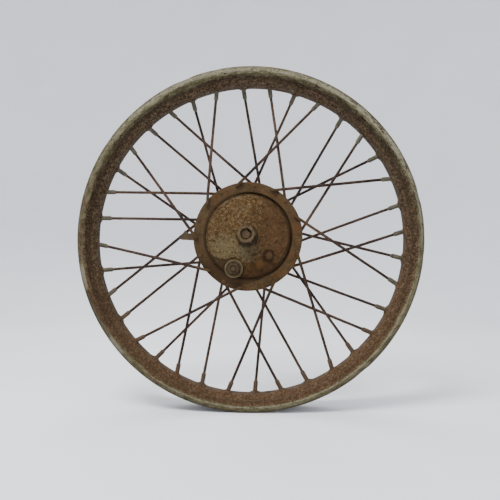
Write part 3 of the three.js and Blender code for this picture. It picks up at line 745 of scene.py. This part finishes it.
def add_spokes():
    for index in range(SPOKE_COUNT):
        fasten(spoke_wire(index), "wheel", f"spoke_{index + 1:02d}")
        fasten(nipple(index), "wheel")


# ---- rim ----
def rim_middle_line():
    """Half of the sheet's middle line, from the middle of the well to the end of the rolled lip."""
    inner = WELL_RADIUS + RIM_SHEET / 2
    corners = [(inner, 0, 0), (inner, 9.8, 6), (240.1, 16.0, 3)]
    corners += [(240.9, 19.4, 2.2), (243.4, 21.2, 1.5), (245.6, 21.7, 0)]
    line = rounded(corners, 6)[:-1]
    for step in range(25):
        turn = radians(-115 + 265 * step / 24)
        radius = LIP_CENTRE[0] + LIP_HALF_HEIGHT * cos(turn)
        line.append((radius, LIP_CENTRE[1] + LIP_HALF_WIDTH * sin(turn)))
    return line


def rim_section():
    half = rim_middle_line()
    line = [(r, -y) for r, y in reversed(half[1:])] + half
    outer, inner = [], []
    for k, (r, y) in enumerate(line):
        before = line[max(k - 1, 0)]
        after = line[min(k + 1, len(line) - 1)]
        tangent = Vector((after[0] - before[0], after[1] - before[1])).normalized()
        normal = Vector((tangent.y, -tangent.x)) * (RIM_SHEET / 2)
        outer.append((r + normal.x, y + normal.y))
        inner.append((r - normal.x, y - normal.y))
    return outer + inner[::-1]


def rim_angles():
    """Twelve turns to each spoke hole, closest together at the hole."""
    offsets = (-5.0, -4.1, -3.2, -2.4, -1.6, -0.8, 0.0, 0.8, 1.6, 2.4, 3.2, 4.1)
    holes = [FIRST_HOLE_ANGLE + SPOKE_STEP * k for k in range(SPOKE_COUNT)]
    return [hole + offset for hole in holes for offset in offsets]


def rim_shape(radius, y, angle):
    """The well is pressed towards the hub round each nipple, and the lip has a few small knocks."""
    index = round((angle - FIRST_HOLE_ANGLE) / SPOKE_STEP)
    hole_y = RIM_HOLE_OFFSET * (-1 if index % 2 == 0 else 1)
    away = hypot(radians(angle - FIRST_HOLE_ANGLE - SPOKE_STEP * index) * WELL_RADIUS, y - hole_y)
    if radius < WELL_RADIUS + 7:
        radius -= 2.8 * (1 - smoothstep(3.6, 9.8, away)) * (1 - smoothstep(9.5, 13, abs(y)))
    if radius > 246:
        around = polar(1.0, angle, 0)
        knock = noise.noise(around * 9 + Vector((3.1, y * 0.02, 0)))
        radius -= 0.8 * smoothstep(0.25, 0.6, knock)
    return radius, y


def add_rim():
    bm = bmesh.new()
    add_lathe(bm, rim_section(), rim_angles(), rim_shape)
    hoop = make_object("rim_hoop", bm, RIM_MATERIAL, 60)
    outward = polar(1, VALVE_ANGLE, 0)
    drill(hoop, outward * (WELL_RADIUS - 6), outward, VALVE_HOLE_RADIUS, 14, 60)
    fasten(hoop, "wheel", "rim")


# ---- hub ----
def packed_dirt(angle):
    """How full of dirt the groove round the brake plate is: clean at the top right, full on the left."""
    return smoothstep(88, 112, angle % 360) * (1 - smoothstep(292, 312, angle % 360))


def add_hub():
    section = rounded([
        (MOUTH_RADIUS, -FLANGE_FACE, 0.9), (FLANGE_RADIUS, -FLANGE_FACE, 1.4),
        (FLANGE_RADIUS, -FLANGE_INNER_FACE, 1.2), (70, -FLANGE_INNER_FACE, 1.5),
        (68, -28, 2), (68, -6, 4), (63, -0.5, 4), (32, 7, 6), (26, 12, 5), (25, 25, 4), (27, 28.5, 3),
        (35, FLANGE_INNER_FACE, 2), (46, FLANGE_INNER_FACE, 1), (46, FLANGE_FACE, 1),
        (24, FLANGE_FACE + 0.4, 1.5), (23, 37, 1), (17.5, 37, 0.5),
        (17.5, 22.7, 0), (15.5, 22.7, 0), (15.5, -1.7, 0), (17.5, -1.7, 0),
        (17.5, -14, 0.5), (23, -14, 1), (25, -9, 2), (26, -5, 3), (58, -5, 2), (60, -7, 1),
        (60, -FLANGE_INNER_FACE, 0.6), (MOUTH_RADIUS, -FLANGE_INNER_FACE, 1.0),
    ], 4)

    def worn(radius, y, angle):
        """Dirt narrows the mouth, and the flange's edge is uneven, with a flat at the lower left."""
        if y > -FLANGE_INNER_FACE + 0.1 or radius < 62:
            return radius, y
        around = polar(2.2, angle, 0)
        edge = smoothstep(76, 80, radius)
        flat = smoothstep(22, 8, abs(angle_between(angle, 221)))
        radius -= edge * (0.5 + 0.5 * noise.noise(around + Vector((0, 4, 0))) + 0.5 * flat)
        mouth = 1 - smoothstep(MOUTH_RADIUS, MOUTH_RADIUS + 3, radius)
        radius -= 2.3 * mouth * packed_dirt(angle)
        if y < -FLANGE_FACE + 0.5:
            ripple = noise.noise(around * 4 + Vector((radius * 0.12, 0, 0)))
            y += 0.25 * ripple - 0.5 * mouth * packed_dirt(angle)
        return radius, y

    bm = bmesh.new()
    add_lathe(bm, section, even_angles(240), worn)
    fasten(make_object("hub_shell", bm, HUB_MATERIAL, 40), "wheel", "hub_drum")


def add_flange_tab():
    """A torn sheet tab that stands out between the two layers of spokes."""
    outline = [(72, 6.8), (82, 5.8), (90, 5), (96, 4.9), (100, 4), (100.4, 2), (98.8, -0.4)]
    outline += [(95.6, -5.6), (93, -9.4), (91, -8.2), (88, -5.3), (80, -3.6), (72, -2.5)]
    tilt = radians(11.5)
    bm = bmesh.new()
    layers = []
    for depth in (-1.0, 1.0):
        layer = []
        for x, z in outline:
            y = -32.3 + depth * 0.9 + (x - 76) * sin(tilt)
            place = polar(76 + (x - 76) * cos(tilt), 180, 0) + polar(z, 270, 0)
            layer.append(bm.verts.new(Vector((place.x, y, place.z))))
        layers.append(layer)
    bm.faces.new(layers[0])
    bm.faces.new(layers[1])
    for k in range(len(outline)):
        kn = (k + 1) % len(outline)
        bm.faces.new((layers[0][k], layers[0][kn], layers[1][kn], layers[1][k]))
    tab = make_object("flange_tab", bm, TAB_MATERIAL, 20)
    bevel = tab.modifiers.new("edge", "BEVEL")
    bevel.width = 0.5 * MM
    bevel.segments = 2
    fasten(tab, "wheel")


# ---- brake plate ----
def plate_height(x, z):
    """How far the plate's outer face stands towards the brake side at a point, in millimetres."""
    radius = hypot(x, z)
    angle = degrees(atan2(z, x)) % 360
    point = Vector((x, z, 0))
    height = -PLATE_FACE - 3.0 * smoothstep(57.0, PLATE_RADIUS, radius)

    face = hypot(x - FLAT_CENTRE[0], z - FLAT_CENTRE[1])
    lower_left = smoothstep(176, 190, angle) * (1 - smoothstep(240, 262, angle))
    height -= 2.8 * smoothstep(28.0, 30.5, face) * lower_left * smoothstep(30, 42, radius)

    cam = polar(CAM_CIRCLE, CAM_ANGLE, 0)
    arm_start, arm_end = Vector((cam.x, cam.z, 0)), Vector((-43, -43, 0))
    reach = arm_end - arm_start
    along = min(max((point - arm_start).dot(reach) / reach.length_squared, 0), 1)
    arm = (point - arm_start - reach * along).length
    fall = 1.8 * smoothstep(56, PLATE_RADIUS, radius)
    height = max(height, -PLATE_FACE - 0.4 - 2.6 * smoothstep(7.0, 11.5, arm) - fall)
    boss = (point - arm_start).length
    height = max(height, -PLATE_FACE + 1.6 - 3.5 * smoothstep(12.2, 15.0, boss))

    pad_angle = abs(angle_between(angle, 313))
    pad = smoothstep(33, 26, pad_angle) * smoothstep(27.5, 31, radius)
    pad *= 1 - smoothstep(52.5, 56, radius)
    height += 1.3 * pad
    stud = polar(STUD_CIRCLE, STUD_ANGLE, 0)
    well = hypot(x - stud.x, z - stud.z)
    height -= 1.1 * (1 - smoothstep(7.6, 9.6, well))
    height += 1.2 * (1 - smoothstep(17.5, 22, radius))
    pitted = noise.noise(Vector((x, z, 3.0)) * 0.28) + 0.6 * noise.noise(Vector((x, z, 9.0)) * 0.7)
    return height + 0.16 * pitted


def add_plate():
    radii = [8.0 + (PLATE_RADIUS - 8.0) * k / 90 for k in range(91)]
    back = [(PLATE_RADIUS, -31.2), (57, -31.2), (54.5, -33), (14, -33)]
    back += [(13, -25), (9.6, -23), (9.6, -13.3), (8.0, -13.3)]
    bm = bmesh.new()
    rings = []
    for angle in even_angles(320):
        ring = []
        for radius in radii:
            point = polar(radius, angle, 0)
            ring.append(bm.verts.new((point.x, -plate_height(point.x, point.z), point.z)))
        rings.append(ring + [bm.verts.new(polar(radius, angle, y)) for radius, y in back])
    join_rings(bm, rings)
    disc = make_object("brake_plate_disc", bm, PLATE_MATERIAL, 50)
    drill(disc, polar(CAM_CIRCLE, CAM_ANGLE, -45), Vector((0, 1, 0)), SPINDLE_HOLE_RADIUS, 20, 50)
    fasten(disc, "axle_and_plate", "brake_plate")

    profile = [(0, 5.2), (3.0, 4.9), (3.6, 4.6), (6.4, 4.5), (7.2, 4.1), (7.7, 3.0), (7.9, 0)]
    bm = bmesh.new()
    add_turned(bm, profile, polar(STUD_CIRCLE, STUD_ANGLE, PLATE_FACE + 1), Vector((0, -1, 0)), 28)
    fasten(make_object("plate_stud", bm, STUD_MATERIAL), "axle_and_plate")


# ---- nuts, collars and the axle ----
def add_hex_nut(name, centre, low, high, circumradius, hole, material):
    """A six-sided nut along Y with a turned chamfer on both ends and a countersunk hole."""
    apothem = circumradius * cos(pi / 6)
    corner = (circumradius - apothem) * 0.62
    section = [
        (hole, low + 1.0), (hole + 0.9, low), (apothem * 0.985, low), (circumradius, low),
        (circumradius, high), (apothem * 0.985, high), (hole + 0.9, high), (hole, high - 1.0),
    ]
    middle = (low + high) / 2
    sides = 96
    bm = bmesh.new()
    rings = []
    for k in range(sides):
        turn = tau * k / sides
        flat = apothem / cos((turn % (pi / 3)) - pi / 6)
        over = (flat - apothem) / (circumradius - apothem)
        reach = (high - low) / 2 - corner * over - 0.15
        ring = []
        for radius, y in section:
            if radius == circumradius:
                radius = flat
                y = middle + (reach if y > middle else -reach)
            ring.append(bm.verts.new(centre + Vector((radius * cos(turn), y, radius * sin(turn)))))
        rings.append(ring)
    join_rings(bm, rings)
    return make_object(name, bm, material, 28)


def add_collar(name, section, node):
    bm = bmesh.new()
    add_lathe(bm, rounded(section, 3), even_angles(96))
    fasten(make_object(name, bm, COLLAR_MATERIAL, 40), "axle_and_plate", node)


def add_axle_pieces():
    origin = Vector((0, 0, 0))
    for side, low, high in (("brake_side", -NUT_END, -NUT_BASE), ("far_side", NUT_BASE, NUT_END)):
        nut = add_hex_nut(f"nut_{side}", origin, low, high, NUT_CIRCUMRADIUS, NUT_HOLE_RADIUS, NUT_MATERIAL)
        fasten(nut, "axle_and_plate", f"axle_nut_{side}")
    add_collar("collar_brake_side", [
        (7.6, -39.2, 0.2), (15.7, -39.2, 0.8), (15.7, -43.4, 1.2), (12, -44.9, 1.0),
        (12, -62, 0.6), (7.6, -62, 0.2),
    ], "axle_collar_brake_side")
    add_collar("collar_far_side", [
        (7.6, 34.3, 0.2), (9.6, 34.3, 0.2), (9.6, 37.6, 0), (20, 37.6, 0.6), (20, 39.4, 0.8),
        (13, 41, 2.0), (12, 46, 1.0), (12, 62, 0.6), (7.6, 62, 0.2),
    ], "axle_collar_far_side")

    def flattened(turn, height):
        """The axle's ends have one flat side."""
        if abs(height) < NUT_BASE or cos(turn) <= 0:
            return 1.0
        return min(1.0, 0.78 / cos(turn))

    bm = bmesh.new()
    profile = [(-73.5, 0), (-73.5, 6.2), (-72.6, 7.1), (-62.5, 7.1), (-2.1, 7.1), (-1.7, 9.4)]
    profile += [(22.7, 9.4), (23.1, 7.1), (62.5, 7.1), (72.6, 7.1), (73.5, 6.2), (73.5, 0)]
    add_turned(bm, profile, origin, Vector((0, 1, 0)), 48, flattened)
    fasten(make_object("axle_rod", bm, AXLE_MATERIAL), "axle_and_plate", "axle")


def add_cam_pieces():
    centre = polar(CAM_CIRCLE, CAM_ANGLE, 0)
    nut = add_hex_nut("cam_nut", centre, -49.4, -41.9, 8.6, 4.0, CAM_NUT_MATERIAL)
    fasten(nut, "cam", "brake_cam_nut")
    bm = bmesh.new()
    profile = [(-39.6, 5.4), (-39.6, 12.6), (-39.9, 13.2), (-41.0, 13.2)]
    profile += [(-41.5, 12.5), (-41.5, 10.6), (-41.0, 9.9), (-41.0, 5.4)]
    add_turned(bm, profile, centre, Vector((0, 1, 0)), 64)
    fasten(make_object("cam_washer", bm, WASHER_MATERIAL), "cam", "brake_cam_washer")


# ---- inside the drum ----
def spring_half(name, offset, side):
    """Half of a return spring, the spring's middle, and the start of its straight end."""
    towards_anchor = polar(1, CAM_ANGLE - 180, 0)
    towards_shoe = polar(1, CAM_ANGLE - 90, 0)

    def place(y, across, along=0.0):
        return towards_anchor * (offset + along) + towards_shoe * (side * across) + Vector((0, y, 0))

    leg = SHOE_WEB_FACES[0] - SPRING_WIRE_RADIUS - 0.3
    path = []
    steps = 14 * SPRING_HALF_TURNS
    for k in range(steps + 1):
        turn = side * tau * SPRING_HALF_TURNS * k / steps
        y = leg - SPRING_COIL_RADIUS * (1 - cos(turn))
        path.append(place(y, SPRING_HALF_COIL * k / steps, SPRING_COIL_RADIUS * sin(turn)))
    path.append(place(leg, SPRING_HALF_COIL + 3))
    bend = 1.2
    for t in (0.0, 0.25, 0.5, 0.75, 1.0):
        path.append(place(leg + bend * t * t, SPRING_HOLE_AT - bend * (1 - t) ** 2))
    path.append(place(SHOE_WEB_FACES[1] + 1, SPRING_HOLE_AT))
    bm = bmesh.new()
    add_tube(bm, path, SPRING_WIRE_RADIUS, 10)
    half = make_object(name, bm, STEEL_MATERIAL, 60)
    return half, place(leg, 0) * MM, place(leg, SPRING_HALF_COIL + 3) * MM


def add_springs():
    """Each return spring is drawn as two halves in place of the CAD spring."""
    for end, offset in (("cam_end", -SPRING_OFFSET), ("anchor_end", SPRING_OFFSET)):
        for shoe, side in (("left", 1), ("right", -1)):
            half, middle, hook = spring_half(f"spring_{end}_{shoe}", offset, side)
            if shoe == "left":
                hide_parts(f"return_spring_{end}")
            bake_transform(half)


def paint_carried_nodes():
    """The CAD nodes that stay get a procedural finish of their own."""
    finishes = {
        "brake_cam": CAM_NUT_MATERIAL, "brake_anchor_pin": STUD_MATERIAL,
        "brake_shoe_left": SHOE_MATERIAL, "brake_shoe_right": SHOE_MATERIAL,
        "brake_lining_left": LINING_MATERIAL, "brake_lining_right": LINING_MATERIAL,
    }
    for place in ("brake_side", "far_side"):
        for piece in ("inner_ring", "outer_ring", "balls"):
            finishes[f"bearing_{place}_{piece}"] = STEEL_MATERIAL
    for name, material in finishes.items():
        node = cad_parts[name]
        node.data.materials.clear()
        node.data.materials.append(material)


# ---- stage ----
def add_stage():
    """A pale floor that curves up into a round wall, open at the top, so that no horizon shows."""
    floor_z = CAD_BOX[0][2] / MM
    finish = Finish("stage_pale")
    cloud = finish.noise(3, 2, 0.5)
    colour = finish.ramp(cloud, (0.3, (0.85, 0.855, 0.885)), (0.7, (0.88, 0.885, 0.91)))
    finish.links.new(colour, finish.shader.inputs["Base Color"])
    finish.shader.inputs["Roughness"].default_value = 0.9
    profile = [(radius, floor_z) for radius in (1, 400, 900, FLOOR_RADIUS)]
    for step in range(1, 17):
        turn = radians(90 * step / 16)
        rise = WALL_BEND * (1 - cos(turn))
        profile.append((FLOOR_RADIUS + WALL_BEND * sin(turn), floor_z + rise))
    profile.append((FLOOR_RADIUS + WALL_BEND, floor_z + WALL_HEIGHT))
    bm = bmesh.new()
    rings = []
    for angle in even_angles(96):
        turn = radians(angle)
        rings.append([bm.verts.new((r * cos(turn), r * sin(turn), z)) for r, z in profile])
    for ring, other in zip(rings, rings[1:] + rings[:1]):
        for j in range(len(ring) - 1):
            bm.faces.new((ring[j], ring[j + 1], other[j + 1], other[j]))
    bm.faces.new([ring[0] for ring in rings])
    make_object("floor", bm, finish.material, 60)

    world = bpy.data.worlds.new("studio")
    world.use_nodes = True
    world.node_tree.nodes["Background"].inputs["Color"].default_value = (0.94, 0.96, 1.0, 1)
    world.node_tree.nodes["Background"].inputs["Strength"].default_value = 1.0
    bpy.context.scene.world = world


def add_light(name, place, size, power):
    """A round soft light that points at the wheel's centre."""
    data = bpy.data.lights.new(name, "AREA")
    data.shape = "DISK"
    data.size = size
    data.energy = power
    light = bpy.data.objects.new(name, data)
    light.location = place
    light.rotation_euler = (-Vector(place)).to_track_quat("-Z", "Y").to_euler()
    bpy.context.scene.collection.objects.link(light)


def add_camera():
    data = bpy.data.cameras.new("camera")
    data.lens = 35.31
    data.sensor_width = 36
    camera = bpy.data.objects.new("camera", data)
    camera.location = (0.0385, -0.7432, -0.0533)
    direction = Vector((-0.04932, 0.99769, 0.04658))
    camera.rotation_euler = direction.to_track_quat("-Z", "Y").to_euler()
    bpy.context.scene.collection.objects.link(camera)
    bpy.context.scene.camera = camera


add_rim()
add_spokes()
add_hub()
add_flange_tab()
add_plate()
add_axle_pieces()
add_cam_pieces()
add_springs()
paint_carried_nodes()
add_stage()
add_light("key", (-0.6, -0.95, 1.5), 0.8, 46)
add_light("fill", (1.3, -1.1, 0.6), 1.5, 6)
add_light("back", (-0.4, 1.5, 1.3), 1.4, 18)
add_camera()
